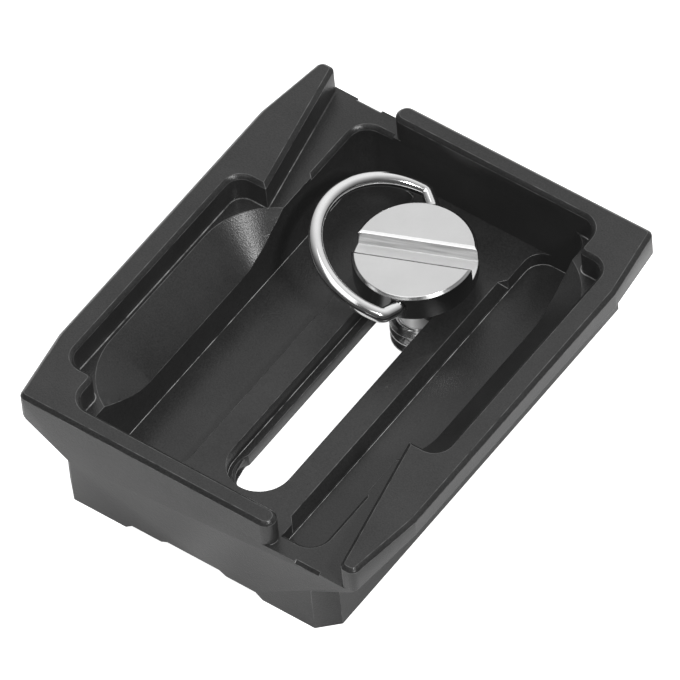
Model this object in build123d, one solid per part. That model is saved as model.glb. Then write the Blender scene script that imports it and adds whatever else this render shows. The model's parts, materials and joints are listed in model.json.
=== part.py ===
"""Quick release plate for a tripod head, lying with its tripod side up.

Three pieces: the plate, its captive camera screw and the ring that turns the screw.
Millimetres. X runs across the dovetail, Y along it, Z is up out of the pocket,
and Z = 0 is the flat face that meets the camera.
"""

import math
import os

from build123d import *

# Plate, outside
plate_width = 42.5
plate_length = 50.0
plate_height = 12.65
rim_chamfer = 0.42
corner_radius = 0.8
taper_length = 8.4  # stretch at each end where the flanges narrow
taper_inset = 1.25  # how much each flange narrows
flange_edge = 2.2  # upright edge of a flange
dovetail_angle = 33.8  # underside of a flange, from level
flange_reach = 4.85  # how far a flange stands out from the block
block_corner = 1.95  # bevel on the upright corners of the block

# Pocket
pocket_side_wall = 2.65
pocket_end_wall = 2.2
pocket_corner = 2.0
ridge_thickness = 3.45
channel_thickness = 1.8
ridge_width = 13.8
ridge_bevel = 0.65
ridge_bevel_stop = 7.0  # from each end of the plate

# Side recess beside the pocket, the one on the right
shelf_depth = 3.25
side_wall = 2.65
side_near_wall = 16.1
side_far_wall = 6.02
side_corner = 1.7
neck_wall = 6.17  # beside the narrower end next to the far rim
neck_corner = 1.9
neck_inner_corner = 0.82
foot_radius = 0.2  # rounding where the walls meet the floor

# Sloping scoop in the floor of each side recess
scoop_ledge = 0.45  # strip of floor left beside the scoop
scoop_radius = 7.9
scoop_start = 6.25  # centre of the first round end, from the near wall
scoop_end = 6.33  # centre of the last round end, from the far wall
scoop_depth = 3.6
scoop_slope = 38.7

# Gap in the rim at the near right, with a slanting wall
gap_start = 11.3  # free end of the rim, from the edge of the flange
gap_wall = 6.21  # slanting wall where it leaves the side recess, from the edge of the flange
gap_wall_slope = 0.2014
gap_tip_radius = 0.7
lead_bevel = 0.35
lead_stop = 5.55  # from the edge of the flange
lead_length = 2.9
edge_bevel = 0.45  # on the edge of the pocket along the gap
edge_bevel_stop = 10.7  # from the end of the plate

# Notch in the lower edge of each end
notch_run = 3.0
notch_wide = 8.2
notch_wide_depth = 0.7
notch_narrow = 3.9
notch_narrow_depth = 1.15
notch_side = 0.8

# Slot for the screw
slot_stop = 11.4  # centre of each round end, from the end of the plate
slot_width = 6.77
slot_step_thickness = 1.59
neck_slot_width = 5.16
entry_radius = 2.9  # tapped hole through which the screw goes in

# Camera screw
screw_setback = 1.1  # from the centre of the slot's far end
thread_radius = 3.175
thread_play = 0.3  # gap between the camera face and the first thread
thread_reach = 4.55  # how far the tip stands out of the camera face
tip_bevel = 0.7
neck_clearance = 0.23
head_radius = 6.2
head_sink = 3.4  # top of the head below the rim
head_height = 3.4
head_bevel = 0.3
coin_slot_width = 1.6
coin_slot_depth = 1.4

# Ring
wire = 1.5
pivot_drop = 1.26  # cross holes below the top of the head
pivot_clearance = 0.08
pivot_hole = 1.5  # depth of each cross hole
pivot_gap = 0.2  # from the wire's end to the bottom of its hole
ring_radius = 8.05
ring_centre = 2.15  # centre of the bow, from the pivot
leg_start = 0.3  # bend at the mouth of a cross hole, from the side of the head
leg_spread = 1.1  # bend at the start of the bow, from the pivot
bend_radius = 0.9
ring_turn = 200.0  # way the ring points, from X
ring_lift = 21.7  # above level


def level(depth):
    """Height at a depth below the rim."""
    return plate_height - depth


def polygon(points):
    """Flat face from its corners."""
    return make_face(Polyline(*points, close=True))


def rounded(points, radii):
    """Flat face from its corners, some of them rounded."""
    face = polygon(points)
    for number, radius in radii.items():
        x, y = points[number]
        corner = min(face.vertices(), key=lambda v: math.hypot(v.X - x, v.Y - y))
        face = fillet([corner], radius)
    return face


def along_y(points, start, end):
    """Solid with the given X-Z section, from start to end along Y."""
    face = Plane.XZ * polygon(points)
    return Pos(0, start, 0) * extrude(face, -(end - start))


def both_ends(solid):
    """The solid and its copy turned half round about Z."""
    return solid + Rot(0, 0, 180) * solid


half_width = plate_width / 2
half_length = plate_length / 2
half_block = half_width - flange_reach
past = 1.0  # how far a cutter runs past a face

# Plate, outer form
straight = half_length - taper_length
half_end = half_width - taper_inset
outline = rounded(
    [
        (half_width, -straight),
        (half_width, straight),
        (half_end, half_length),
        (-half_end, half_length),
        (-half_width, straight),
        (-half_width, -straight),
        (-half_end, -half_length),
        (half_end, -half_length),
    ],
    {number: corner_radius for number in (2, 3, 6, 7)},
)
blank = extrude(outline, plate_height)

fall = math.tan(math.radians(dovetail_angle))


def underside(x):
    """Height of the flange's sloping underside at x."""
    return level(flange_edge) - (half_width - x) * fall


inner_x = half_block - 2 * block_corner
outer_x = half_width + past
below = along_y(
    [
        (inner_x, underside(inner_x)),
        (outer_x, underside(outer_x)),
        (outer_x, -past),
        (inner_x, -past),
    ],
    -half_length - past,
    half_length + past,
)
below += mirror(below, Plane.YZ)
block = extrude(Rectangle(2 * half_block, plate_length), plate_height)
block = chamfer(block.edges().filter_by(Axis.Z), block_corner)
plate = blank - (below - block)

# Pocket, and a channel on each side of the ridge
pocket_x = half_block - pocket_side_wall
pocket_y = half_length - pocket_end_wall
pocket_plan = RectangleRounded(2 * pocket_x, 2 * pocket_y, pocket_corner)
plate -= Pos(0, 0, ridge_thickness) * extrude(pocket_plan, plate_height)
half_ridge = ridge_width / 2
channel_width = pocket_x - half_ridge
channel = RectangleRounded(channel_width, 2 * pocket_y, pocket_corner)
channel = extrude(Pos(half_ridge + channel_width / 2, 0) * channel, ridge_thickness)
plate -= both_ends(Pos(0, 0, channel_thickness) * channel)

# Bevel along the ridge
bevel_in = half_ridge - ridge_bevel
bevel_out = half_ridge + ridge_bevel
bevel = along_y(
    [
        (bevel_in, ridge_thickness),
        (bevel_out, ridge_thickness - 2 * ridge_bevel),
        (bevel_out, ridge_thickness + past),
        (bevel_in, ridge_thickness + past),
    ],
    -half_length + ridge_bevel_stop,
    half_length - ridge_bevel_stop,
)
plate -= both_ends(bevel)

# Side recesses open to the pocket, each with a gap in the rim beyond a slanting wall
shelf = level(shelf_depth)
side_x = half_width - side_wall
side_near = -half_length + side_near_wall
side_far = half_length - side_far_wall
neck_x = half_width - neck_wall
open_x = pocket_x - 2 * past
gap_left = half_width - gap_start
gap_end = -half_length - past


def slanting_wall(y):
    """Where the slanting wall stands at y."""
    return half_width - gap_wall + gap_wall_slope * (side_near - y)


recess_plan = rounded(
    [
        (gap_left, gap_end),
        (slanting_wall(gap_end), gap_end),
        (slanting_wall(side_near), side_near),
        (side_x, side_near),
        (side_x, side_far),
        (neck_x, side_far),
        (neck_x, pocket_y),
        (open_x, pocket_y),
        (open_x, 2 * past - pocket_y),
        (gap_left, 2 * past - pocket_y),
    ],
    {3: side_corner, 4: side_corner, 5: neck_inner_corner, 6: neck_corner},
)
recess = extrude(recess_plan, shelf_depth + past)
recess = fillet(recess.faces().sort_by(Axis.Z)[0].edges(), foot_radius)
plate -= both_ends(Pos(0, 0, shelf) * recess)

# Sloping scoops: long round-ended hollows that narrow downwards
scoop_x = side_x - scoop_ledge - scoop_radius
scoop_from = side_near + scoop_start
scoop_to = side_far - scoop_end
scoop_foot = scoop_radius - scoop_depth / math.tan(math.radians(scoop_slope))


def scoop_section(depth, radius):
    """Level section of the right scoop at a depth below the shelf."""
    middle = Pos(scoop_x, (scoop_from + scoop_to) / 2, shelf - depth)
    return middle * Rot(0, 0, 90) * SlotCenterToCenter(scoop_to - scoop_from, 2 * radius)


scoop = loft([scoop_section(0, scoop_radius), scoop_section(scoop_depth, scoop_foot)], ruled=True)
plate -= both_ends(scoop)

# Round the free ends of the rim beside the gaps
rim_radius = pocket_end_wall / 2
rim_middle = -half_length + rim_radius
rim_x = gap_left - rim_radius
rim_tip = Rectangle(rim_radius + past, pocket_end_wall + past, align=(Align.MIN, Align.CENTER))
rim_tip = Pos(rim_x, rim_middle) * (rim_tip - Circle(rim_radius))
plate -= both_ends(Pos(0, 0, shelf) * extrude(rim_tip, shelf_depth + past))

# Round the thin end of each slanting wall
lean = math.atan(gap_wall_slope)
tip_y = -half_length + gap_tip_radius
tip_x = slanting_wall(tip_y) + gap_tip_radius / math.cos(lean)
touch_x = tip_x - gap_tip_radius * math.cos(lean)
touch_y = tip_y - gap_tip_radius * math.sin(lean)
wall_tip = polygon(
    [
        (touch_x, touch_y),
        (tip_x, tip_y),
        (tip_x, gap_end),
        (touch_x - past, gap_end),
        (touch_x - past, touch_y),
    ]
)
wall_tip -= Pos(tip_x, tip_y) * Circle(gap_tip_radius)
plate -= both_ends(Pos(0, 0, shelf) * extrude(wall_tip, shelf_depth + past))

# Lead-in bevel on the outer edge of each gap
lead = Plane.YZ * polygon(
    [
        (-half_length + lead_bevel, shelf),
        (gap_end, shelf - past - lead_bevel),
        (gap_end, shelf + past),
        (-half_length + lead_bevel, shelf + past),
    ]
)
lead_from = half_width - lead_stop - lead_length
plate -= both_ends(Pos(lead_from, 0, 0) * extrude(lead, lead_length))

# Bevel on the edge of the pocket along each gap
edge_cut = Pos(0, 0, shelf - edge_bevel) * extrude(pocket_plan, 2 * edge_bevel, taper=-45)
bevel_end = -half_length + edge_bevel_stop
bevel_plan = polygon(
    [
        (gap_left, -half_length),
        (pocket_x + past, -half_length),
        (pocket_x + past, bevel_end - past),
        (pocket_x, bevel_end),
        (gap_left, bevel_end),
    ]
)
plate -= both_ends(edge_cut & extrude(bevel_plan, plate_height))

# Chamfer all round the top of the rim, inside and out
rim = plate.faces().group_by(Axis.Z)[-1]
plate -= Pos(0, 0, level(rim_chamfer)) * extrude(Rectangle(plate_width, plate_length), past)
for face in rim:
    top = offset(face, -rim_chamfer, kind=Kind.INTERSECTION).faces()[0]
    plate += loft([Pos(0, 0, -rim_chamfer) * face, top], ruled=True)

# Notch in the lower edge of each end
notch_half = [
    (notch_narrow - notch_side, notch_narrow_depth),
    (notch_narrow, notch_wide_depth),
    (notch_wide - notch_side, notch_wide_depth),
    (notch_wide, 0),
    (notch_wide, -past),
]
notch = notch_half + [(-x, z) for x, z in reversed(notch_half)]
plate -= both_ends(along_y(notch, gap_end, -half_length + notch_run))

# Stepped slot with a tapped entry at its near end
slot_reach = half_length - slot_stop
slot_length = 2 * slot_reach
upper_slot = Rot(0, 0, 90) * SlotCenterToCenter(slot_length, slot_width)
upper_slot = Pos(0, 0, slot_step_thickness) * extrude(upper_slot, ridge_thickness)
neck_slot = Rot(0, 0, 90) * SlotCenterToCenter(slot_length, neck_slot_width)
through = ridge_thickness + 2 * past
plate -= upper_slot
plate -= Pos(0, 0, -past) * extrude(neck_slot, through)
plate -= Pos(0, -slot_reach, -past) * extrude(Circle(entry_radius), through)

# Camera screw, turned from its section, with a coin slot and two cross holes
neck_radius = neck_slot_width / 2 - neck_clearance
head_top = level(head_sink)
head_foot = head_top - head_height
shoulder = thread_radius - neck_radius
section = Plane.XZ * polygon(
    [
        (0, -thread_reach),
        (thread_radius - tip_bevel, -thread_reach),
        (thread_radius, -thread_reach + tip_bevel),
        (thread_radius, -thread_play - shoulder),
        (neck_radius, -thread_play),
        (neck_radius, head_foot),
        (head_radius - head_bevel, head_foot),
        (head_radius, head_foot + head_bevel),
        (head_radius, head_top - head_bevel),
        (head_radius - head_bevel, head_top),
        (0, head_top),
    ]
)
screw = revolve(section, Axis.Z)
screw -= Pos(0, 0, head_top) * Box(2 * head_radius + past, coin_slot_width, 2 * coin_slot_depth)
pivot_z = head_top - pivot_drop
hole_end = head_radius - pivot_hole
hole = extrude(Plane.XZ * Circle(wire / 2 + pivot_clearance), -(pivot_hole + past))
screw -= both_ends(Pos(0, hole_end, pivot_z) * hole)
place = Pos(0, slot_reach - screw_setback, 0) * Rot(0, 0, ring_turn)
screw = place * screw

# Ring: two ends in the cross holes, two spread legs and one large bow
end_y = hole_end + pivot_gap
leg_points = [
    (0, end_y),
    (0, head_radius + leg_start),
    (leg_spread, ring_radius),
    (ring_centre, ring_radius),
]
leg = FilletPolyline(*leg_points, radius=bend_radius)
other_leg = FilletPolyline(*[(x, -y) for x, y in reversed(leg_points)], radius=bend_radius)
bow = ThreePointArc((ring_centre, ring_radius), (ring_centre + ring_radius, 0), (ring_centre, -ring_radius))
path = Wire(leg.edges() + bow.edges() + other_leg.edges())
ring = sweep(Plane((0, end_y, 0), z_dir=(0, 1, 0)) * Circle(wire / 2), path=path)
ring = place * Pos(0, 0, pivot_z) * Rot(0, -ring_lift, 0) * ring

os.makedirs("parts", exist_ok=True)
for name, piece in {"plate": plate, "camera_screw": screw, "d_ring": ring}.items():
    export_step(piece, f"parts/{name}.step")
    print(name, len(piece.solids()), round(piece.volume, 1), piece.bounding_box())
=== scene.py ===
# %% [markdown]
# # A quick release plate for a tripod head
# The plate lies with its tripod side up. It is one milled block of black anodised aluminium, with a
# captive camera screw in its slot and a folding wire ring on the head of the screw. The solid model
# already has the exact shapes and sizes, so this lesson loads it as a fixed frame and gives each piece
# its finish, its fine edges and, for the screw and its tapped entry, their threads.

# %% Load the frame
import json
import math

import bmesh
import bpy
from mathutils import Matrix, Vector
from mathutils.bvhtree import BVHTree


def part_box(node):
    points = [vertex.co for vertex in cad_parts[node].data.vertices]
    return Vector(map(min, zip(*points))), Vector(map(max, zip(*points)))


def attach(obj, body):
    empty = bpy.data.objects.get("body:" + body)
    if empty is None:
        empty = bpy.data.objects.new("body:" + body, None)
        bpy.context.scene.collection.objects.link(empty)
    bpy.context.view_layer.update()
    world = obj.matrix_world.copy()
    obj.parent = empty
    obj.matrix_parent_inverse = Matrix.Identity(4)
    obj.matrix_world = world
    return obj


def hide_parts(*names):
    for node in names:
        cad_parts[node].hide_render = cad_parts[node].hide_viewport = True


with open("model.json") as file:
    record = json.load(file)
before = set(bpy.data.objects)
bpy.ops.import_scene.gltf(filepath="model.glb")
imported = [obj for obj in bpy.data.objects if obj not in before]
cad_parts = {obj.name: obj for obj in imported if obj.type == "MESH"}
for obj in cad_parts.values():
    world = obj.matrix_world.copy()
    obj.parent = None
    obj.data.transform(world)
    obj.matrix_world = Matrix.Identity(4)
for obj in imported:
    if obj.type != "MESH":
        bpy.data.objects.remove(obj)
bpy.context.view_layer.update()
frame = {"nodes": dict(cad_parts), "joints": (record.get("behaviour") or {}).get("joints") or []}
MM = 0.001
scene = bpy.context.scene

# %% [markdown]
# ## Camera
# The photograph was taken from far away with a long lens, so upright edges hardly converge. The camera
# is placed by its measured position and by the three directions of its picture: right, up and back.
# The object rests tilted, and the picture is level with the table, so the camera has a little roll.

# %% Camera
camera_place = Vector((519.479, -605.476, 1000.573)) * MM
picture_right = Vector((0.808385, 0.584911, -0.066273))
picture_up = Vector((-0.424330, 0.657049, 0.623082))
picture_back = picture_right.cross(picture_up)
FOCAL_PIXELS = 13127.9
PICTURE_PIXELS = 680
SENSOR_WIDTH = 36.0
CLIP_START, CLIP_END = 0.05, 20.0

camera_data = bpy.data.cameras.new("camera")
camera_data.sensor_width = SENSOR_WIDTH
camera_data.lens = FOCAL_PIXELS / PICTURE_PIXELS * SENSOR_WIDTH
camera_data.clip_start = CLIP_START
camera_data.clip_end = CLIP_END
camera = bpy.data.objects.new("camera", camera_data)
turn = Matrix((picture_right, picture_up, picture_back)).transposed().to_4x4()
camera.matrix_world = Matrix.Translation(camera_place) @ turn
scene.collection.objects.link(camera)
scene.camera = camera
print("lens", round(camera_data.lens, 1), "mm, distance", round(camera_place.length, 3), "m")

# %% [markdown]
# ## Small helpers for node trees
# Shaders and Geometry Nodes are both trees of nodes. These helpers add a node with its settings, and
# join it to the sockets it reads, so that each tree below reads like a list of steps.


# %% Node helpers
def add_node(tree, kind, inputs=None, **settings):
    """Node of a kind, with settings, and its inputs set or linked by name or number."""
    made = tree.nodes.new(kind)
    for name, value in settings.items():
        setattr(made, name, value)
    for key, value in (inputs or {}).items():
        if isinstance(value, bpy.types.NodeSocket):
            tree.links.new(value, made.inputs[key])
        else:
            made.inputs[key].default_value = value
    return made


def maths(tree, operation, *values):
    """Output of one Math node."""
    made = add_node(tree, "ShaderNodeMath", dict(enumerate(values)), operation=operation)
    return made.outputs[0]


def ramp(tree, value, low, high, start=0.0, end=1.0, smooth=False):
    """A value moved from the range low..high to start..end, and held there."""
    kind = "SMOOTHSTEP" if smooth else "LINEAR"
    inputs = {"Value": value, "From Min": low, "From Max": high, "To Min": start, "To Max": end}
    return add_node(tree, "ShaderNodeMapRange", inputs, interpolation_type=kind).outputs["Result"]


def fade(tree, value, low, high, smooth=False):
    """1 where a value is under low, falling to 0 where it is over high."""
    return ramp(tree, value, low, high, 1.0, 0.0, smooth)


def parts(tree, vector):
    """X, Y and Z of a vector."""
    return add_node(tree, "ShaderNodeSeparateXYZ", {"Vector": vector}).outputs


def add_sockets(tree, direction, sockets):
    """Named sockets on a node group, given as name: (kind, value)."""
    for name, (kind, value) in sockets.items():
        made = tree.interface.new_socket(name, in_out=direction, socket_type="NodeSocket" + kind)
        if value is not None:
            made.default_value = value


print("node helpers ready")


# %% Material helpers
def new_material(name):
    """Material, its node tree and the shader in it."""
    material = bpy.data.materials.new(name)
    material.use_nodes = True
    return material, material.node_tree, material.node_tree.nodes["Principled BSDF"]


def grey(level):
    """Neutral colour of a brightness."""
    return (level, level, level, 1)


def mixed(tree, amount, first, second):
    """Colour between two colours."""
    inputs = {"Factor": amount, 6: first, 7: second}
    return add_node(tree, "ShaderNodeMix", inputs, data_type="RGBA").outputs[2]


print("material helpers ready")

# %% [markdown]
# ## Table and light
# Turned over, the plate can't lie flat: it rests on the tip of its screw and on the lower edge of its
# near end. The table is therefore tilted to touch both, instead of moving the object. It glows like a
# light table, apart from the shade under the plate, and glows again where light falls through the slot.
# A white room that is brighter behind the plate and a softbox overhead light everything softly, and one
# lamp beside the camera gives the scoops and the chamfered corners that face it their highlights. The
# bright table also spreads a thin haze in the lens, which lifts the darkest tones a little. A black level
# in the view curve gives that haze without any fog in the scene.

# %% Table
screw_low, screw_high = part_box("camera_screw")
plate_low, plate_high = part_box("plate")
screw_y = (screw_low.y + screw_high.y) / 2
TIP_RADIUS = 2.475 * MM
TABLE_RADIUS = 0.15
TABLE_SIDES = 96
TABLE_GAP = 0.02 * MM
table_fall = -screw_low.z / (screw_y - TIP_RADIUS - plate_low.y)

table_mesh = bpy.data.meshes.new("table")
table_build = bmesh.new()
bmesh.ops.create_circle(table_build, cap_ends=True, segments=TABLE_SIDES, radius=TABLE_RADIUS)
for corner in table_build.verts:
    corner.co.z = -table_fall * (corner.co.y - plate_low.y) - TABLE_GAP
table_build.to_mesh(table_mesh)
table_build.free()
table = bpy.data.objects.new("table", table_mesh)
scene.collection.objects.link(table)
print("table tilt", round(math.degrees(math.atan(table_fall)), 2), "degrees")

# %% Glow of the table
PAPER_LEVEL, PAPER_ROUGHNESS = 0.9, 0.9
SHADE_START, SHADE_END = -4 * MM, 10 * MM
SLOT_LIGHT_SIDE, SLOT_LIGHT_NEAR, SLOT_LIGHT_FAR = 7 * MM, 9 * MM, 20 * MM
GLOW_UNDER, GLOW_SLOT, GLOW_CLEAR = 0.06, 0.42, 0.45


def make_light_table():
    """Glowing paper, with a shade under the plate and light under its slot."""
    material, tree, shader = new_material("light_table")
    shader.inputs["Base Color"].default_value = grey(PAPER_LEVEL)
    shader.inputs["Roughness"].default_value = PAPER_ROUGHNESS
    shader.inputs["Specular IOR Level"].default_value = 0.0
    shader.inputs["Emission Color"].default_value = grey(1.0)
    spot = parts(tree, add_node(tree, "ShaderNodeTexCoord").outputs["Object"])
    across = maths(tree, "ABSOLUTE", spot["X"])
    along = maths(tree, "ABSOLUTE", spot["Y"])
    beside = maths(tree, "SUBTRACT", across, plate_high.x)
    before = maths(tree, "SUBTRACT", along, plate_high.y)
    clear = maths(tree, "MAXIMUM", beside, before)
    lit = ramp(tree, clear, SHADE_START, SHADE_END, GLOW_UNDER, GLOW_CLEAR, smooth=True)
    under_slot = ramp(tree, across, 0.0, SLOT_LIGHT_SIDE, GLOW_SLOT, 0.0)
    near_end = fade(tree, spot["Y"], SLOT_LIGHT_NEAR, SLOT_LIGHT_FAR)
    through = maths(tree, "MULTIPLY", under_slot, near_end)
    ray = add_node(tree, "ShaderNodeLightPath").outputs["Is Camera Ray"]
    glow = maths(tree, "MAXIMUM", maths(tree, "MAXIMUM", lit, through), ray)
    tree.links.new(glow, shader.inputs["Emission Strength"])
    return material


table_mesh.materials.append(make_light_table())
print("material", table_mesh.materials[0].name)

# %% Room
ROOM_BRIGHT_SIDE = (-0.30, 0.72, 0.62)
ROOM_DARK, ROOM_BRIGHT = 0.07, 0.92
DARK_UNTIL, BRIGHT_FROM = -0.144, 0.948
ROOM_RISE = 1.8

world = bpy.data.worlds.new("studio_room")
scene.world = world
world.use_nodes = True
room = world.node_tree
background = room.nodes["Background"]
background.inputs["Color"].default_value = grey(1.0)
toward = add_node(room, "ShaderNodeTexCoord").outputs["Generated"]
facing = add_node(room, "ShaderNodeVectorMath", {0: toward, 1: ROOM_BRIGHT_SIDE}, operation="DOT_PRODUCT")
share = ramp(room, facing.outputs["Value"], DARK_UNTIL, BRIGHT_FROM)
level = ramp(room, maths(room, "POWER", share, ROOM_RISE), 0.0, 1.0, ROOM_DARK, ROOM_BRIGHT)
seen = add_node(room, "ShaderNodeLightPath").outputs["Is Camera Ray"]
room.links.new(maths(room, "MAXIMUM", level, seen), background.inputs["Strength"])
print("room", world.name)

# %% Lamps
LAMP_PLACE, LAMP_SIZE, LAMP_POWER = (1.09, -0.39, 1.24), (0.18, 0.18), 11.5
SOFTBOX_PLACE, SOFTBOX_SIZE, SOFTBOX_POWER = (0.0, -0.30, 0.80), (0.6, 1.0), 2.0


def add_soft_light(name, place, size, power):
    """Area light of a size across and along, at a place in metres, turned towards the object."""
    data = bpy.data.lights.new(name, "AREA")
    data.shape = "RECTANGLE"
    data.size, data.size_y = size
    data.energy = power
    light = bpy.data.objects.new(name, data)
    light.location = place
    light.rotation_mode = "QUATERNION"
    light.rotation_quaternion = Vector(place).to_track_quat("Z", "Y")
    scene.collection.objects.link(light)


add_soft_light("lamp_by_camera", LAMP_PLACE, LAMP_SIZE, LAMP_POWER)
add_soft_light("overhead_softbox", SOFTBOX_PLACE, SOFTBOX_SIZE, SOFTBOX_POWER)

# %% Haze of the lens
LENS_VEIL = 0.006
view = scene.view_settings
view.view_transform = "Standard"
view.use_curve_mapping = True
view.curve_mapping.black_level = [-LENS_VEIL] * 3
view.curve_mapping.update()
print("lens veil", LENS_VEIL)

# %% [markdown]
# ## Shared surface effects
# Two effects are used by more than one finish, so each is a shader node group. The first is a fine
# grain, as bead blasting or drawing leaves it: a small noise for the bump and the gloss, and wide soft
# patches that keep a large face from looking printed. The second is the light line along an edge, read
# from a mark that each piece carries on its rounded edges. On the outer edges that line is partly wear
# from handling and partly a painted highlight. In the inside corners, where it is brightest, it is a
# painted highlight.

# %% Fine grain
GRAIN_SCALE, GRAIN_DETAIL = 6500.0, 2.0
PATCH_SCALE, PATCH_DETAIL = 160.0, 3.0
GRAIN_SPREAD = (0.2, 0.8)
NOISE_SPREAD = (0.3, 0.7)


def noise(tree, place, scale, detail, spread):
    """Noise at a place, with a part of its range spread out to 0..1."""
    made = add_node(tree, "ShaderNodeTexNoise", {"Vector": place, "Scale": scale, "Detail": detail})
    return ramp(tree, made.outputs["Fac"], *spread)


def make_grain_group():
    """Shader group: a fine grain and wide soft patches, from Object coordinates."""
    tree = bpy.data.node_groups.new("fine_grain", "ShaderNodeTree")
    add_sockets(
        tree, "INPUT", {"Grain Scale": ("Float", GRAIN_SCALE), "Patch Scale": ("Float", PATCH_SCALE)}
    )
    add_sockets(tree, "OUTPUT", {"Height": ("Float", None), "Patches": ("Float", None)})
    given = add_node(tree, "NodeGroupInput").outputs
    place = add_node(tree, "ShaderNodeTexCoord").outputs["Object"]
    height = noise(tree, place, given["Grain Scale"], GRAIN_DETAIL, GRAIN_SPREAD)
    wide = noise(tree, place, given["Patch Scale"], PATCH_DETAIL, NOISE_SPREAD)
    add_node(tree, "NodeGroupOutput", {"Height": height, "Patches": wide})
    return tree


grain_group = make_grain_group()
print("group", grain_group.name)

# %% Worn edges and painted edge highlights
EDGE_MARK = "broken_edge"
EDGE_LINE_SCALE, EDGE_LINE_DETAIL = 900.0, 3.0
USUAL_WEAR_AND_GLINT = 0.5


def make_edge_group():
    """Shader group: a broken line of wear and painted highlight on edges the mesh marks as rounded off."""
    tree = bpy.data.node_groups.new("worn_and_glinting_edges", "ShaderNodeTree")
    add_sockets(tree, "INPUT", {"Edge Line Scale": ("Float", EDGE_LINE_SCALE), "Wear And Glint": ("Float", USUAL_WEAR_AND_GLINT)})
    add_sockets(tree, "OUTPUT", {"Wear And Glint": ("Float", None)})
    given = add_node(tree, "NodeGroupInput").outputs
    place = add_node(tree, "ShaderNodeTexCoord").outputs["Object"]
    edge = add_node(tree, "ShaderNodeAttribute", attribute_name=EDGE_MARK)
    broken = noise(tree, place, given["Edge Line Scale"], EDGE_LINE_DETAIL, NOISE_SPREAD)
    # Outer edges: partly wear, partly painted highlight. Inside corners: painted highlight only.
    line = maths(tree, "MULTIPLY", edge.outputs["Fac"], broken)
    add_node(tree, "NodeGroupOutput", {"Wear And Glint": maths(tree, "MULTIPLY", line, given["Wear And Glint"])})
    return tree


edge_group = make_edge_group()
print("group", edge_group.name)

# %% [markdown]
# ## Finishes
# Black anodising is a dyed oxide film: a dark body colour under a satin sheen, with the grain of the
# blasted metal in it. The screw is turned steel with a bright plating, so its face keeps very fine
# rings. Its coin slot was sawn, which leaves streaks along the walls and a rough floor. On the screw,
# light and shade are painted by zone: a painted highlight on the lips of the slot and the bevelled rim,
# painted light on the floor of the slot, painted shade on its walls, much darker painted shade on the
# side of the head, and a little painted shade on the shank. All these zones follow from height and
# radius, so one material holds them. The ring is drawn wire with the same plating and is the brightest
# of the three.


# %% Joining a finish to its shader
def dress_shader(tree, shader, colour, gloss, height, strength, depth):
    """Connect a finish's colour, roughness and bump to its shader."""
    bump = add_node(tree, "ShaderNodeBump", {"Height": height, "Strength": strength, "Distance": depth})
    tree.links.new(colour, shader.inputs["Base Color"])
    tree.links.new(gloss, shader.inputs["Roughness"])
    tree.links.new(bump.outputs["Normal"], shader.inputs["Normal"])


print("finish helper ready")

# %% Black anodised aluminium
# Edge line colour: partly wear, partly painted highlight. In inside corners it is only painted highlight.
DYE_DARK, DYE_LIGHT, DYE_WORN_AND_GLINT = grey(0.003), grey(0.039), grey(0.60)
DYE_WEAR_AND_GLINT = 0.8
GRAIN_PART, PATCH_PART = 0.7, 0.3
SATIN_LOW, SATIN_HIGH = 0.27, 0.33
BLAST_STRENGTH, BLAST_DEPTH = 1.0, 0.012 * MM
FILM_IOR = 1.5


def make_black_anodised():
    """Dyed oxide film over blasted aluminium."""
    material, tree, shader = new_material("black_anodised_satin")
    grain = add_node(tree, "ShaderNodeGroup", node_tree=grain_group).outputs
    edges = add_node(tree, "ShaderNodeGroup", {"Wear And Glint": DYE_WEAR_AND_GLINT}, node_tree=edge_group).outputs
    speckle = maths(tree, "MULTIPLY", grain["Height"], GRAIN_PART)
    speckle = maths(tree, "MULTIPLY_ADD", grain["Patches"], PATCH_PART, speckle)
    body = mixed(tree, speckle, DYE_DARK, DYE_LIGHT)
    body = mixed(tree, edges["Wear And Glint"], body, DYE_WORN_AND_GLINT)
    gloss = ramp(tree, grain["Height"], 0.0, 1.0, SATIN_LOW, SATIN_HIGH)
    dress_shader(tree, shader, body, gloss, grain["Height"], BLAST_STRENGTH, BLAST_DEPTH)
    shader.inputs["IOR"].default_value = FILM_IOR
    return material


black_anodised = make_black_anodised()
print("material", black_anodised.name)

# %% Zones of the screw
SHANK_BELOW, HEAD_ABOVE = 4.0 * MM, 5.5 * MM
FLOOR_LOW, FLOOR_HIGH = 7.30 * MM, 7.34 * MM
WALL_FOOT, WALL_TOP, WALL_SOFT = 7.48 * MM, 8.96 * MM, 0.04 * MM
# Under the face, the rim and the lips of the slot are lighter as a painted highlight.
LIP_HIGHLIGHT_BELOW, FACE_ABOVE = 9.10 * MM, 9.24 * MM
SIDE_IN, SIDE_OUT = 6.10 * MM, 6.18 * MM
SIDE_TOP = 8.95 * MM


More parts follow.
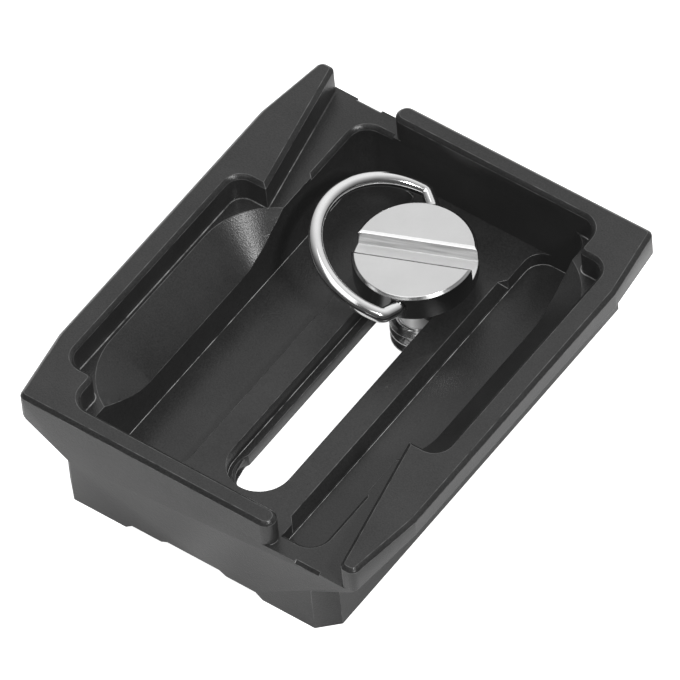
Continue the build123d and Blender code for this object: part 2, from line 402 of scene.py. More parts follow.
def screw_zones(tree, spot):
    """Masks for the zones of the screw, from places about its axis."""
    height = spot["Z"]
    squares = [maths(tree, "POWER", spot[way], 2.0) for way in "XY"]
    radius = maths(tree, "SQRT", maths(tree, "ADD", *squares))
    above_floor = ramp(tree, height, WALL_FOOT - WALL_SOFT, WALL_FOOT)
    under_wall = fade(tree, above_floor, 0.0, 1.0)
    floor = maths(tree, "MULTIPLY", ramp(tree, height, FLOOR_LOW, FLOOR_HIGH), under_wall)
    under_lip = fade(tree, height, WALL_TOP, WALL_TOP + WALL_SOFT)
    under_rim = fade(tree, height, SIDE_TOP, LIP_HIGHLIGHT_BELOW)
    # Zones for painted light and shade: highlight on the lips, light on the floor, shade on wall, side and
    # shank.
    return {
        "lips": fade(tree, height, LIP_HIGHLIGHT_BELOW, FACE_ABOVE),
        "wall": maths(tree, "MULTIPLY", above_floor, under_lip),
        "floor": floor,
        "rough floor": maths(tree, "MULTIPLY", floor, fade(tree, radius, SIDE_IN, SIDE_OUT)),
        "side": maths(tree, "MULTIPLY", ramp(tree, radius, SIDE_IN, SIDE_OUT), under_rim),
        "shank": fade(tree, height, SHANK_BELOW, HEAD_ABOVE),
    }


print("screw zones ready")

# %% Streaks of the saw, on walls darkened as painted shade
SLOT_TURN = math.radians(22.0)
SAW_STRETCH = (14.0, 1.0, 1.0)
SAW_SCALE, SAW_DETAIL = 3000.0, 3.0
# The sawn walls are darker than the face as painted shade. The streaks along them are real.
SAWN_SHADED_DARK, SAWN_SHADED_LIGHT = grey(0.38), grey(0.66)


def shaded_saw_streaks(tree, place):
    """Colour of the sawn walls of the coin slot, streaked along the cut and darkened as painted shade."""
    along = {
        "Vector": place,
        "Location": (0.0, screw_y, 0.0),
        "Rotation": (0.0, 0.0, SLOT_TURN),
        "Scale": SAW_STRETCH,
    }
    stretched = add_node(tree, "ShaderNodeMapping", along, vector_type="TEXTURE").outputs["Vector"]
    streaks = noise(tree, stretched, SAW_SCALE, SAW_DETAIL, NOISE_SPREAD)
    return mixed(tree, streaks, SAWN_SHADED_DARK, SAWN_SHADED_LIGHT)


print("slot turned", round(math.degrees(SLOT_TURN), 1), "degrees")

# %% Turned and plated steel
STEEL_GRAIN = 2600.0
STEEL_DARK, STEEL_LIGHT = grey(0.67), grey(0.72)
# Painted highlight on the lips and rim, and painted light on the floor of the slot.
LIP_HIGHLIGHT_LEVEL, FLOOR_LIGHT_LEVEL = grey(0.88), grey(0.97)
# Painted shade on the side of the head, and a little painted shade on the shank.
SIDE_SHADE_LEVEL, SHANK_SHADE_LEVEL = grey(0.16), grey(0.62)
# Edge line colour: partly wear, partly painted highlight. In inside corners it is only painted highlight.
STEEL_WORN_AND_GLINT, STEEL_WEAR_AND_GLINT = grey(0.95), 0.8
STEEL_SMOOTH, STEEL_ROUGH = 0.16, 0.26
SHANK_ROUGHER, FLOOR_ROUGHER = -0.09, 0.45
TURNING_SCALE, TURNING_WANDER, TURNING_DETAIL = 1500.0, 0.6, 2.0
TURNING_GRAIN = 0.5
TURNING_STRENGTH = 0.08
PLATING_DEPTH = 0.01 * MM


def make_plated_steel():
    """Bright plating over turned steel, with rings about the screw's axis and painted light and shade."""
    material, tree, shader = new_material("plated_turned_steel")
    grain = add_node(tree, "ShaderNodeGroup", {"Grain Scale": STEEL_GRAIN}, node_tree=grain_group).outputs
    edges = add_node(tree, "ShaderNodeGroup", {"Wear And Glint": STEEL_WEAR_AND_GLINT}, node_tree=edge_group).outputs
    place = add_node(tree, "ShaderNodeTexCoord").outputs["Object"]
    to_axis = {"Vector": place, "Location": (0.0, -screw_y, 0.0)}
    centred = add_node(tree, "ShaderNodeMapping", to_axis, vector_type="POINT").outputs["Vector"]
    zone = screw_zones(tree, parts(tree, centred))
    colour = mixed(tree, grain["Patches"], STEEL_DARK, STEEL_LIGHT)
    colour = mixed(tree, zone["lips"], colour, LIP_HIGHLIGHT_LEVEL)
    colour = mixed(tree, zone["wall"], colour, shaded_saw_streaks(tree, place))
    colour = mixed(tree, zone["floor"], colour, FLOOR_LIGHT_LEVEL)
    colour = mixed(tree, zone["side"], colour, SIDE_SHADE_LEVEL)
    colour = mixed(tree, zone["shank"], colour, SHANK_SHADE_LEVEL)
    colour = mixed(tree, edges["Wear And Glint"], colour, STEEL_WORN_AND_GLINT)
    gloss = ramp(tree, grain["Height"], 0.0, 1.0, STEEL_SMOOTH, STEEL_ROUGH)
    gloss = maths(tree, "MULTIPLY_ADD", zone["shank"], SHANK_ROUGHER, gloss)
    gloss = maths(tree, "MULTIPLY_ADD", zone["rough floor"], FLOOR_ROUGHER, gloss)
    turning = {
        "Vector": centred,
        "Scale": TURNING_SCALE,
        "Distortion": TURNING_WANDER,
        "Detail": TURNING_DETAIL,
    }
    rings = add_node(tree, "ShaderNodeTexWave", turning, wave_type="RINGS", rings_direction="Z")
    height = maths(tree, "MULTIPLY_ADD", grain["Height"], TURNING_GRAIN, rings.outputs["Fac"])
    dress_shader(tree, shader, colour, gloss, height, TURNING_STRENGTH, PLATING_DEPTH)
    shader.inputs["Metallic"].default_value = 1.0
    return material


plated_steel = make_plated_steel()
print("material", plated_steel.name)

# %% Bright wire
WIRE_GRAIN = {"Grain Scale": 2200.0, "Patch Scale": 420.0}
WIRE_DARK, WIRE_LIGHT = grey(0.82), grey(0.90)
WIRE_SMOOTH, WIRE_ROUGH = 0.08, 0.16
WIRE_STRENGTH = 0.06


def make_bright_wire():
    """Bright plating over drawn wire."""
    material, tree, shader = new_material("bright_drawn_wire")
    grain = add_node(tree, "ShaderNodeGroup", WIRE_GRAIN, node_tree=grain_group).outputs
    colour = mixed(tree, grain["Patches"], WIRE_DARK, WIRE_LIGHT)
    gloss = ramp(tree, grain["Patches"], 0.0, 1.0, WIRE_SMOOTH, WIRE_ROUGH)
    dress_shader(tree, shader, colour, gloss, grain["Height"], WIRE_STRENGTH, PLATING_DEPTH)
    shader.inputs["Metallic"].default_value = 1.0
    return material


bright_wire = make_bright_wire()
print("material", bright_wire.name)

# %% [markdown]
# ## Clean meshes with broken edges
# The solid has perfectly sharp edges, and no milled edge is. A copy of its mesh is cleaned first: the
# loose triangles are joined, and flat faces become single faces. A narrow Bevel then breaks every sharp
# edge, inside corners too, which gives the thin light lines that outline a real machined part. The Bevel
# bends the shading of its neighbours a little, so level faces and the round ends of the scoops get their
# exact normals back.

# %% Cleaned copies
MERGE = 0.0005 * MM
FLAT = math.radians(0.05)


def join_flat_faces(build):
    """Make one face of each group of faces that lie in one plane."""
    bmesh.ops.dissolve_limit(build, angle_limit=FLAT, verts=build.verts[:], edges=build.edges[:])


def cleaned_copy(node, name, keep_above=None):
    """Joined copy of a CAD node's mesh, cut off below a height where one is given."""
    build = bmesh.new()
    build.from_mesh(frame["nodes"][node].data)
    bmesh.ops.remove_doubles(build, verts=build.verts, dist=MERGE)
    if keep_above is not None:
        bmesh.ops.bisect_plane(
            build,
            geom=build.verts[:] + build.edges[:] + build.faces[:],
            plane_co=(0, 0, keep_above),
            plane_no=(0, 0, 1),
            clear_inner=True,
        )
        bmesh.ops.holes_fill(build, edges=[edge for edge in build.edges if edge.is_boundary])
    join_flat_faces(build)
    mesh = bpy.data.meshes.new(name)
    build.to_mesh(mesh)
    build.free()
    made = bpy.data.objects.new(name, mesh)
    scene.collection.objects.link(made)
    return made


def settle(made, material):
    """Turn an object's modifiers into plain mesh, and give it one material."""
    bpy.context.view_layer.update()
    state = bpy.context.evaluated_depsgraph_get()
    mesh = bpy.data.meshes.new_from_object(made.evaluated_get(state), depsgraph=state)
    mesh.name = made.name
    made.modifiers.clear()
    made.data = mesh
    mesh.materials.clear()
    mesh.materials.append(material)


print("points merged within", MERGE / MM, "mm")

# %% Broken edges
EDGE_BREAK = 0.06 * MM
BREAK_STEPS = 2
REAL_EDGE = math.radians(18.0)


def break_edges(made, keep_sharp=(), crease=None):
    """Round off every real edge, apart from those in small balls, which stay sharp, as creases do."""
    build = bmesh.new()
    build.from_mesh(made.data)
    weight = build.edges.layers.float.new("bevel_weight_edge")
    for edge in build.edges:
        ends = [corner.co for corner in edge.verts]
        middle = (ends[0] + ends[1]) / 2
        real = edge.calc_face_angle(0.0) > REAL_EDGE
        kept = any((middle - spot).length < reach for spot, reach in keep_sharp)
        edge[weight] = float(real and not kept)
        edge.smooth = not (real and kept) and not (crease and all(crease(end) for end in ends))
    build.to_mesh(made.data)
    build.free()
    made.data.polygons.foreach_set("use_smooth", [True] * len(made.data.polygons))
    bevel = made.modifiers.new("edge_break", "BEVEL")
    bevel.width = EDGE_BREAK
    bevel.segments = BREAK_STEPS
    bevel.limit_method = "WEIGHT"
    bevel.use_clamp_overlap = False
    bevel.harden_normals = True


print("edges broken by", EDGE_BREAK / MM, "mm")

# %% Marks for light edges
# Inside corners carry only a painted highlight, lighter than the wear and painted highlight of outer
# edges.
OUTER_WEAR_AND_GLINT_SHARE, INNER_GLINT_SHARE = 0.48, 2.2
# The inside roundings at the foot of the side recesses get a painted highlight line.
ROUNDING_GLINT_LINE, ROUNDING_GLINT_SHARE = (0.02, 0.32), 0.8
NEAR = 0.01 * MM
UPRIGHT, LEVEL = 0.02, 0.9999


def mark_edges(made, before):
    """Store on each point its edge line: wear and painted highlight outside, a painted highlight inside.
    """
    solid = BVHTree.FromPolygons([v.co for v in before.vertices], [f.vertices[:] for f in before.polygons])
    deepest = EDGE_BREAK * (1 - math.sqrt(0.5))
    marks = []
    for point in made.data.vertices:
        place, normal, _, moved = solid.find_nearest(point.co)
        inside_corner = (point.co - place).dot(normal) > 0
        marks.append(min(1.0, moved / deepest) * (INNER_GLINT_SHARE if inside_corner else OUTER_WEAR_AND_GLINT_SHARE))
    mark = made.data.attributes.new(EDGE_MARK, "FLOAT", "POINT")
    mark.data.foreach_set("value", marks)


def mark_rounding_glint(made, low, high):
    """Mark a painted highlight low in the inside roundings between two heights, away from all other faces.
    """
    mesh = made.data
    mark = mesh.attributes[EDGE_MARK].data
    rounding, others = set(), set()
    for face in mesh.polygons:
        heights = [mesh.vertices[index].co.z for index in face.vertices]
        within = min(heights) > low - NEAR and max(heights) < high + NEAR
        (rounding if within and UPRIGHT < face.normal.z < LEVEL else others).update(face.vertices)
    line_low, line_high = (low + share * (high - low) for share in ROUNDING_GLINT_LINE)
    marked = [index for index in rounding - others if line_low < mesh.vertices[index].co.z < line_high]
    for index in marked:
        mark[index].value = ROUNDING_GLINT_SHARE
    print(made.name, "points on roundings", len(marked))


print("inside corners", round(INNER_GLINT_SHARE / OUTER_WEAR_AND_GLINT_SHARE, 1), "times as light as outer edges")

# %% Exact normals
SLOPE_NEAR = 0.02


def true_cones(made, cones, slope):
    """Set the exact normals on the parts of a mesh that lie on upright hollow cones."""
    mesh = made.data
    normals = [Vector(corner.vector) for corner in mesh.corner_normals]
    changed = 0
    for face in mesh.polygons:
        for middle, way, reach in cones:
            beyond = (face.center.y - middle.y) * way
            far = (face.center - middle).xy.length
            if abs(face.normal.z - math.cos(slope)) > SLOPE_NEAR or beyond < 0 or far > reach:
                continue
            for loop in face.loop_indices:
                point = mesh.vertices[mesh.loops[loop].vertex_index].co
                outward = (point - middle).xy.normalized() * math.sin(slope)
                normals[loop] = Vector((-outward.x, -outward.y, math.cos(slope)))
            changed += 1
    mesh.normals_split_custom_set(normals)
    print(made.name, "faces on cones", changed)


def true_levels(made):
    """Set exact upright normals on a mesh's level faces, and keep them free of wear and painted highlight.
    """
    mesh = made.data
    normals = [Vector(corner.vector) for corner in mesh.corner_normals]
    mark = mesh.attributes[EDGE_MARK].data
    changed = 0
    for face in mesh.polygons:
        if abs(face.normal.z) > LEVEL:
            for loop in face.loop_indices:
                normals[loop] = Vector((0, 0, math.copysign(1.0, face.normal.z)))
                mark[mesh.loops[loop].vertex_index].value = 0.0
            changed += 1
    mesh.normals_split_custom_set(normals)
    print(made.name, "level faces", changed)


print("slopes matched within", SLOPE_NEAR)


# %% Measuring a finished mesh
def report(made):
    """Print what a finished mesh measures, and how many of its edges are open."""
    build = bmesh.new()
    build.from_mesh(made.data)
    loose = sum(1 for edge in build.edges if not edge.is_manifold)
    volume = round(build.calc_volume() / MM**3, 1)
    print(made.name, "faces", len(build.faces), "open edges", loose, "volume mm3", volume)
    build.free()


print("mesh report ready")

# %% [markdown]
# ## The plate
# The plate is milled from one block, and a half turn brings it onto itself. The sides of its ridge slope
# in one face from the top to the foot, so the points of the solid's short bevel are moved down. A few
# corners at the gaps in the rim are too crowded for a Bevel and stay sharp, and the faint lines where the
# flanges start to taper stay crisp. A small rounding runs along the foot of each side recess, and gets a
# painted highlight line by a mark of its own.

# %% Ridge of the plate
plate = cleaned_copy("plate", "milled_plate")
sharp_plate = plate.data
BEVEL_TOP = Vector((6.25, 18.0, 3.45)) * MM
BEVEL_FOOT = Vector((6.9, 18.0, 2.8)) * MM
BEVEL_END_Y = 17.2 * MM
SLOPE_FOOT_Z = 2.05 * MM


def steepen_ridge(mesh):
    """Carry the bevel along the ridge down to the foot of its sides, as one sloping face."""
    moved = 0
    for point in mesh.vertices:
        place = Vector((abs(point.co.x), abs(point.co.y), point.co.z))
        if (place - BEVEL_FOOT).length < NEAR:
            point.co.z = SLOPE_FOOT_Z
            moved += 1
        elif (place - BEVEL_TOP).length < NEAR:
            point.co.y = math.copysign(BEVEL_END_Y, point.co.y)
            moved += 1
    print("ridge points moved", moved)


steepen_ridge(sharp_plate)

# %% Edges of the plate
TAPER_Y = plate_high.y - 8.4 * MM
FLANGE_FROM_X = 16 * MM
HALF_TURN = Matrix.Rotation(math.pi, 3, "Z")
GAP_CORNERS = [
    ((18.10, -24.44, 9.50), 0.35),
    ((18.62, -24.95, 9.40), 0.35),
    ((9.10, -24.97, 9.40), 0.50),
    ((9.95, -23.00, 9.20), 0.65),
]
near_corners = [(Vector(place) * MM, reach * MM) for place, reach in GAP_CORNERS]
far_corners = [(HALF_TURN @ place, reach) for place, reach in near_corners]


def on_taper(point):
    """True on the lines across the flanges where their straight edges start to taper."""
    return abs(abs(point.y) - TAPER_Y) < NEAR and abs(point.x) > FLANGE_FROM_X


break_edges(plate, near_corners + far_corners, on_taper)
settle(plate, black_anodised)
mark_edges(plate, sharp_plate)
print("plate edges broken, corners kept sharp", len(near_corners + far_corners))

# %% Plate
SCOOP_SLOPE = math.radians(38.7)
SCOOP_RADIUS = 7.95 * MM
SCOOP_X = 10.25 * MM
SCOOP_NEAR_Y, SCOOP_FAR_Y = -2.65 * MM, 12.65 * MM
SHELF_Z, ROUNDING_TOP_Z = 9.4 * MM, 9.6 * MM
right_ends = [(Vector((SCOOP_X, SCOOP_FAR_Y, 0)), 1), (Vector((SCOOP_X, SCOOP_NEAR_Y, 0)), -1)]
left_ends = [(HALF_TURN @ middle, -way) for middle, way in right_ends]
scoop_cones = [(middle, way, SCOOP_RADIUS) for middle, way in right_ends + left_ends]
true_cones(plate, scoop_cones, SCOOP_SLOPE)
true_levels(plate)
# Painted highlight line along the rounding at the foot of each side recess.
mark_rounding_glint(plate, SHELF_Z, ROUNDING_TOP_Z)
report(plate)
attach(plate, "plate")
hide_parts("plate")

# %% [markdown]
# ## Threads
# A thread follows a rule: its height over the root depends only on how far round and how far up a point
# lies. So one group of Geometry Nodes gives that height, and two trees use it. The outer thread of the
# screw moves the points of a fine cylinder. The inner thread of the slot's tapped entry moves the points
# of a bent bar that lies against the wall of the hole.


# %% Starting, ending and running a tree
def start_tree(name, sizes):
    """Geometry tree with named inputs for its sizes and its material, and those inputs."""
    tree = bpy.data.node_groups.new(name, "GeometryNodeTree")
    inputs = {"Geometry": ("Geometry", None), **sizes, "Material": ("Material", None)}
    add_sockets(tree, "INPUT", inputs)
    add_sockets(tree, "OUTPUT", {"Geometry": ("Geometry", None)})
    return tree, add_node(tree, "NodeGroupInput").outputs


def end_tree(tree, geometry, material):
    """Put out a tree's geometry as plain mesh with its material."""
    plain = add_node(tree, "GeometryNodeRealizeInstances", {"Geometry": geometry}).outputs["Geometry"]
    dressed = add_node(tree, "GeometryNodeSetMaterial", {"Geometry": plain, "Material": material})
    add_node(tree, "NodeGroupOutput", {"Geometry": dressed.outputs["Geometry"]})


def point_parts(tree):
    """X, Y and Z of each point of the geometry."""
    return parts(tree, add_node(tree, "GeometryNodeInputPosition").outputs["Position"])


def moved_points(tree, geometry, x, y, z):
    """Geometry with its points moved to new places."""
    place = add_node(tree, "ShaderNodeCombineXYZ", {"X": x, "Y": y, "Z": z}).outputs["Vector"]
    made = add_node(tree, "GeometryNodeSetPosition", {"Geometry": geometry, "Position": place})
    return made.outputs["Geometry"]


def grow(name, tree, sizes, mesh=None):
    """New object whose mesh a Geometry Nodes tree makes from named sizes."""
    made = bpy.data.objects.new(name, mesh or bpy.data.meshes.new(name))
    scene.collection.objects.link(made)
    modifier = made.modifiers.new(tree.name, "NODES")
    modifier.node_group = tree
    for item in tree.interface.items_tree:
        if item.in_out == "INPUT" and item.name in sizes:
            modifier[item.identifier] = sizes[item.name]
    settle(made, sizes["Material"])
    made.data.shade_smooth()
    report(made)
    return made


print("tree helpers ready")

# %% Thread profile group
PITCH = 1.27 * MM
MAJOR_RADIUS = 3.175 * MM
MINOR_RADIUS = 2.42 * MM
ROOT_SHARE, CREST_SHARE = 0.2, 0.85


def make_profile_group():
    """Geometry group: 0 at the root and 1 at the crest of a right-handed thread."""
    tree = bpy.data.node_groups.new("thread_profile", "GeometryNodeTree")
    sizes = {"Angle": ("Float", 0.0), "Height": ("Float", 0.0), "Pitch": ("Float", PITCH)}
    add_sockets(tree, "INPUT", sizes)
    add_sockets(tree, "OUTPUT", {"Crest": ("Float", None)})
    given = add_node(tree, "NodeGroupInput").outputs
    turns = maths(tree, "DIVIDE", given["Angle"], 2 * math.pi)
    rise = maths(tree, "DIVIDE", given["Height"], given["Pitch"])
    phase = maths(tree, "FRACT", maths(tree, "SUBTRACT", rise, turns))
    slope = maths(tree, "ABSOLUTE", maths(tree, "SUBTRACT", maths(tree, "MULTIPLY", phase, 2.0), 1.0))
    crest = ramp(tree, maths(tree, "SUBTRACT", 1.0, slope), ROOT_SHARE, CREST_SHARE)
    add_node(tree, "NodeGroupOutput", {"Crest": crest})
    return tree


def thread_crest(tree, angle, height, pitch):
    """Height over the root, from 0 to 1, from the thread profile group."""
    inputs = {"Angle": angle, "Height": height, "Pitch": pitch}
    return add_node(tree, "GeometryNodeGroup", inputs, node_tree=profile_group).outputs["Crest"]


profile_group = make_profile_group()
print("pitch", PITCH / MM, "depth", round((MAJOR_RADIUS - MINOR_RADIUS) / MM, 3))

# %% Outer thread tree
NECK_RADIUS = 2.35 * MM
THREAD_TOP = -0.3 * MM
THREAD_LAP = 0.2 * MM
THREAD_SIDES, THREAD_ROWS = 96, 120


def make_outer_thread_tree():
    """Geometry tree: the threaded end of a screw, with a bevelled tip and a run-in at the neck."""
    sizes = {
        "Major Radius": ("Float", MAJOR_RADIUS),
        "Minor Radius": ("Float", MINOR_RADIUS),
        "Neck Radius": ("Float", NECK_RADIUS - THREAD_LAP),
        "Tip Radius": ("Float", TIP_RADIUS),
        "Pitch": ("Float", PITCH),
        "Top": ("Float", THREAD_TOP + THREAD_LAP),
        "Bottom": ("Float", screw_low.z),
        "Centre Y": ("Float", 0.0),
        "Sides": ("Int", THREAD_SIDES),
        "Rows": ("Int", THREAD_ROWS),
    }
    tree, given = start_tree("outer_thread", sizes)
    counts = {"Vertices": given["Sides"], "Side Segments": given["Rows"], "Radius": 1.0, "Depth": 1.0}
    bar = add_node(tree, "GeometryNodeMeshCylinder", counts, fill_type="NGON")
    point = point_parts(tree)
    angle = maths(tree, "ARCTAN2", point["Y"], point["X"])
    length = maths(tree, "SUBTRACT", given["Top"], given["Bottom"])
    above = maths(tree, "MULTIPLY", maths(tree, "ADD", point["Z"], 0.5), length)
    height = maths(tree, "ADD", given["Bottom"], above)
    crest = thread_crest(tree, angle, height, given["Pitch"])
    depth = maths(tree, "SUBTRACT", given["Major Radius"], given["Minor Radius"])
    radius = maths(tree, "MULTIPLY_ADD", crest, depth, given["Minor Radius"])
    tip = maths(tree, "ADD", given["Tip Radius"], above)
    below = maths(tree, "SUBTRACT", given["Top"], height)
    neck = maths(tree, "ADD", given["Neck Radius"], below)
    radius = maths(tree, "MINIMUM", radius, maths(tree, "MINIMUM", tip, neck))
    across = maths(tree, "MULTIPLY", point["X"], radius)
    along = maths(tree, "MULTIPLY_ADD", point["Y"], radius, given["Centre Y"])
    end_tree(tree, moved_points(tree, bar.outputs["Mesh"], across, along, height), given["Material"])
    return tree


outer_thread_tree = make_outer_thread_tree()
print("tree", outer_thread_tree.name)

# %% [markdown]
# ## The screw
# The coin slot of the real screw is wide, with a small chamfer along each lip. It is sawn here into a
# copy of the head: the cutter has the section of the saw with two sloping shoulders, and runs right
# across. Very short edges that the cut leaves at the lips are merged, because a Bevel would fold them.
# The mouths of the cross holes stay sharp. The thread then hangs under the neck as a piece of its own.

# %% Coin slot cutter
SLOT_HALF = 1.2 * MM
SLOT_DEPTH = 1.85 * MM
LIP_DEPTH = 0.2 * MM
LIP_SPREAD = 1.5
SLOT_SPARE = 0.5 * MM
SLOT_REACH = 8.0 * MM


def make_slot_cutter(top):
    """Bar with the section of the coin slot, lying across the head, with its lips at a height."""
    wide = SLOT_HALF + LIP_SPREAD * (LIP_DEPTH + SLOT_SPARE)
    half = [(SLOT_HALF, top - SLOT_DEPTH), (SLOT_HALF, top - LIP_DEPTH), (wide, top + SLOT_SPARE)]
    section = half + [(-side, height) for side, height in reversed(half)]
    along = Vector((math.cos(SLOT_TURN), math.sin(SLOT_TURN), 0))
    side_way = Vector((-along.y, along.x, 0))
    middle = Vector((0, screw_y, 0))
    points = [
        middle + along * reach + side_way * side + Vector((0, 0, height))
        for reach in (-SLOT_REACH, SLOT_REACH)
        for side, height in section
    ]
    count = len(section)
    walls = [(i, (i + 1) % count, (i + 1) % count + count, i + count) for i in range(count)]
    ends = [tuple(reversed(range(count))), tuple(range(count, 2 * count))]
    mesh = bpy.data.meshes.new("slot_cutter")
    mesh.from_pydata(points, [], walls + ends)
    build = bmesh.new()
    build.from_mesh(mesh)
    bmesh.ops.recalc_face_normals(build, faces=build.faces)
    build.to_mesh(mesh)
    build.free()
    return bpy.data.objects.new("slot_cutter", mesh)


slot_cutter = make_slot_cutter(screw_high.z)
print("cutter corners", len(slot_cutter.data.vertices))

# %% Sawing the coin slot
SHORT_EDGE = 0.08 * MM
LIP_ZONE = 0.4 * MM


def cut_away(made, cutter):
    """Take a cutter's shape out of an object's mesh."""
    scene.collection.objects.link(cutter)
    cut = made.modifiers.new("saw", "BOOLEAN")
    cut.object = cutter
    cut.operation = "DIFFERENCE"
    cut.solver = "EXACT"
    settle(made, plated_steel)
    bpy.data.objects.remove(cutter)
    build = bmesh.new()
    build.from_mesh(made.data)
    bmesh.ops.remove_doubles(build, verts=build.verts, dist=MERGE)
    bmesh.ops.dissolve_degenerate(build, edges=build.edges, dist=MERGE)
    join_flat_faces(build)
    lips = [point for point in build.verts if point.co.z > screw_high.z - LIP_ZONE]
    bmesh.ops.remove_doubles(build, verts=lips, dist=SHORT_EDGE)
    plain = bpy.data.meshes.new(made.name)
    build.to_mesh(plain)
    build.free()
    if "custom_normal" in plain.attributes:
        plain.attributes.remove(plain.attributes["custom_normal"])
    made.data = plain


screw = cleaned_copy("camera_screw", "screw_head", keep_above=THREAD_TOP)
cut_away(screw, slot_cutter)
sharp_screw = screw.data
print("sawn head faces", len(sharp_screw.polygons))

# %% Screw: head, neck and thread
MOUTH_REACH = 1.0 * MM
head_radius = (screw_high.x - screw_low.x) / 2
hinge = next(joint for joint in frame["joints"] if joint["name"] == "ring_fold")
hinge_place = Vector(hinge["pos_m"])
hinge_axis = Vector(hinge["axis"])
hole_mouths = [(hinge_place + hinge_axis * way * head_radius, MOUTH_REACH) for way in (-1, 1)]
break_edges(screw, hole_mouths)
settle(screw, plated_steel)
mark_edges(screw, sharp_screw)
true_levels(screw)
report(screw)
thread = grow("screw_thread", outer_thread_tree, {"Centre Y": screw_y, "Material": plated_steel})
for piece in (screw, thread):
    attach(piece, "camera_screw")
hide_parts("camera_screw")

# %% [markdown]
# ## The tapped entry
# The screw is captive because its thread has to be screwed through a tapped hole at the near end of the
# slot before its thin neck can slide. Only a few crests of that inner thread are there. They are a bent
# bar against the wall of the hole, whose inner side follows the same thread profile and whose height
# fades out at both ends, where the wall opens into the slot.

# %% Inner thread tree
ENTRY_CREST, ENTRY_ROOT, ENTRY_BACK = 2.62 * MM, 2.95 * MM, 3.05 * MM
ENTRY_BOTTOM, ENTRY_TOP = 0.02 * MM, 1.57 * MM
ENTRY_SWEEP = math.radians(232)
ENTRY_STEPS, ENTRY_ROWS = 140, 40
FADE_START, FADE_END = 0.36, 0.5


def make_inner_thread_tree():
    """Geometry tree: crests of an inner thread on part of the wall of a hole."""
    sizes = {
        "Crest Radius": ("Float", ENTRY_CREST),
        "Root Radius": ("Float", ENTRY_ROOT),
        "Back Radius": ("Float", ENTRY_BACK),
        "Pitch": ("Float", PITCH),
        "Sweep": ("Float", ENTRY_SWEEP),
        "Top": ("Float", ENTRY_TOP),
        "Bottom": ("Float", ENTRY_BOTTOM),
        "Centre Y": ("Float", 0.0),
        "Steps": ("Int", ENTRY_STEPS),
        "Rows": ("Int", ENTRY_ROWS),
    }
    tree, given = start_tree("inner_thread", sizes)
    counts = {"Vertices X": given["Steps"], "Vertices Y": 2, "Vertices Z": given["Rows"]}
    bar = add_node(tree, "GeometryNodeMeshCube", {"Size": (1, 1, 1), **counts})
    point = point_parts(tree)
    angle = maths(tree, "MULTIPLY_ADD", point["X"], given["Sweep"], -math.pi / 2)
    length = maths(tree, "SUBTRACT", given["Top"], given["Bottom"])
    height = maths(tree, "MULTIPLY_ADD", maths(tree, "ADD", point["Z"], 0.5), length, given["Bottom"])
    crest = thread_crest(tree, angle, height, given["Pitch"])
    run_out = fade(tree, maths(tree, "ABSOLUTE", point["X"]), FADE_START, FADE_END, smooth=True)
    stands = maths(tree, "MULTIPLY", crest, run_out)
    depth = maths(tree, "SUBTRACT", given["Root Radius"], given["Crest Radius"])
    inner = maths(tree, "SUBTRACT", given["Root Radius"], maths(tree, "MULTIPLY", stands, depth))
    at_back = fade(tree, point["Y"], -0.5, 0.5)
    thick = maths(tree, "SUBTRACT", given["Back Radius"], inner)
    radius = maths(tree, "MULTIPLY_ADD", at_back, thick, inner)
    across = maths(tree, "MULTIPLY", maths(tree, "COSINE", angle), radius)
    along = maths(tree, "MULTIPLY_ADD", maths(tree, "SINE", angle), radius, given["Centre Y"])
    end_tree(tree, moved_points(tree, bar.outputs["Mesh"], across, along, height), given["Material"])
    return tree


inner_thread_tree = make_inner_thread_tree()
print("tree", inner_thread_tree.name)

# %% Tapped entry
ENTRY_Y = -13.6 * MM
entry = grow("entry_thread", inner_thread_tree, {"Centre Y": ENTRY_Y, "Material": black_anodised})
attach(entry, "plate")

# %% [markdown]
# ## The ring
# The ring is one piece of bent wire: a short end in each cross hole, a leg that spreads outwards, and a
# round bow. Geometry Nodes run a round section along its middle line, which is laid out flat here and
# then set on the hinge that the frame gives.

# %% Middle line of the ring
BOW_RADIUS = 8.05 * MM
BOW_CENTRE = 2.15 * MM
LEG_SPREAD = 1.1 * MM
LEG_START = 6.5 * MM
WIRE_END = 4.9 * MM
BEND_RADIUS = 0.9 * MM
BEND_STEPS = 16
BOW_STEPS = 120


def bent_line(points, radius, steps):
    """Points along a line of straight runs, with its inner corners rounded."""
    line = [points[0]]
    for before, corner, after in zip(points, points[1:], points[2:]):
        back = (before - corner).normalized()
        ahead = (after - corner).normalized()
        half = math.acos(max(-1.0, min(1.0, back.dot(ahead)))) / 2
        middle = corner + (back + ahead).normalized() * radius / math.sin(half)
        first = (corner + back * radius / math.tan(half) - middle).normalized()
        last = (corner + ahead * radius / math.tan(half) - middle).normalized()
        for step in range(steps + 1):
            line.append(middle + first.slerp(last, step / steps) * radius)
    return line + [points[-1]]


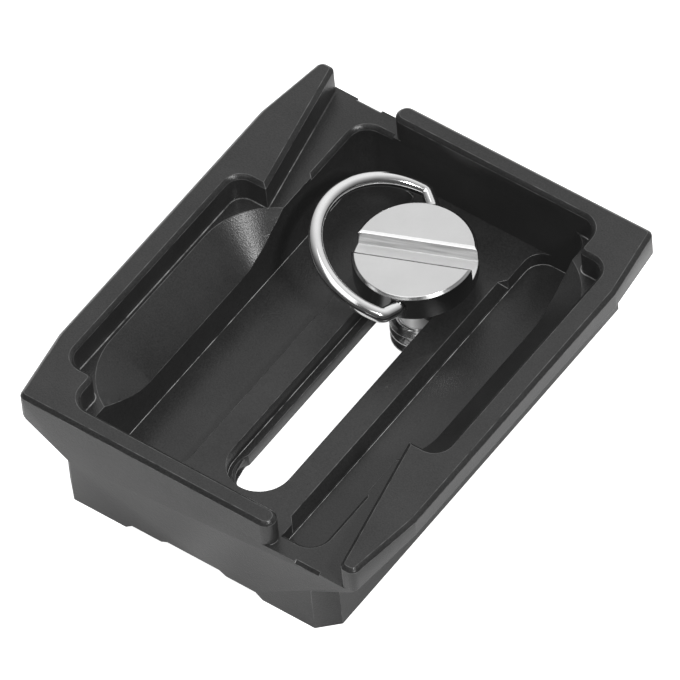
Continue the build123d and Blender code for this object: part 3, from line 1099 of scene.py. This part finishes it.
leg_corners = [
    Vector((0, WIRE_END, 0)),
    Vector((0, LEG_START, 0)),
    Vector((LEG_SPREAD, BOW_RADIUS, 0)),
    Vector((BOW_CENTRE, BOW_RADIUS, 0)),
]
leg = bent_line(leg_corners, BEND_RADIUS, BEND_STEPS)
bow_angles = [math.pi * step / BOW_STEPS for step in range(1, BOW_STEPS)]
bow = [Vector((BOW_CENTRE + BOW_RADIUS * math.sin(a), BOW_RADIUS * math.cos(a), 0)) for a in bow_angles]
flat_line = leg + bow + [Vector((p.x, -p.y, 0)) for p in reversed(leg)]
print("ring line", len(flat_line), "points")

# %% Ring on its hinge
RING_LIFT = math.radians(21.7)
ring_y = -hinge_axis
ring_x = ring_y.cross(Vector((0, 0, 1)))
ring_x = ring_x * math.cos(RING_LIFT) + Vector((0, 0, math.sin(RING_LIFT)))
ring_line = [hinge_place + ring_x * p.x + ring_y * p.y for p in flat_line]
line_mesh = bpy.data.meshes.new("ring_line")
line_mesh.from_pydata(ring_line, [(i, i + 1) for i in range(len(ring_line) - 1)], [])
print("hinge at", [round(v / MM, 2) for v in hinge_place])

# %% Wire tree
WIRE_RADIUS = 0.75 * MM
WIRE_SIDES = 40


def make_wire_tree():
    """Geometry tree: a round wire along the edges of a mesh, with closed ends."""
    sizes = {"Wire Radius": ("Float", WIRE_RADIUS), "Sides": ("Int", WIRE_SIDES)}
    tree, given = start_tree("round_wire", sizes)
    line = add_node(tree, "GeometryNodeMeshToCurve", {"Mesh": given["Geometry"]}).outputs["Curve"]
    circle = {"Resolution": given["Sides"], "Radius": given["Wire Radius"]}
    section = add_node(tree, "GeometryNodeCurvePrimitiveCircle", circle).outputs["Curve"]
    run = {"Curve": line, "Profile Curve": section, "Fill Caps": True}
    tube = add_node(tree, "GeometryNodeCurveToMesh", run).outputs["Mesh"]
    end_tree(tree, tube, given["Material"])
    return tree


wire_tree = make_wire_tree()
print("tree", wire_tree.name)

# %% Ring
ring = grow("wire_ring", wire_tree, {"Material": bright_wire}, line_mesh)
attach(ring, "d_ring")
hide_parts("d_ring")
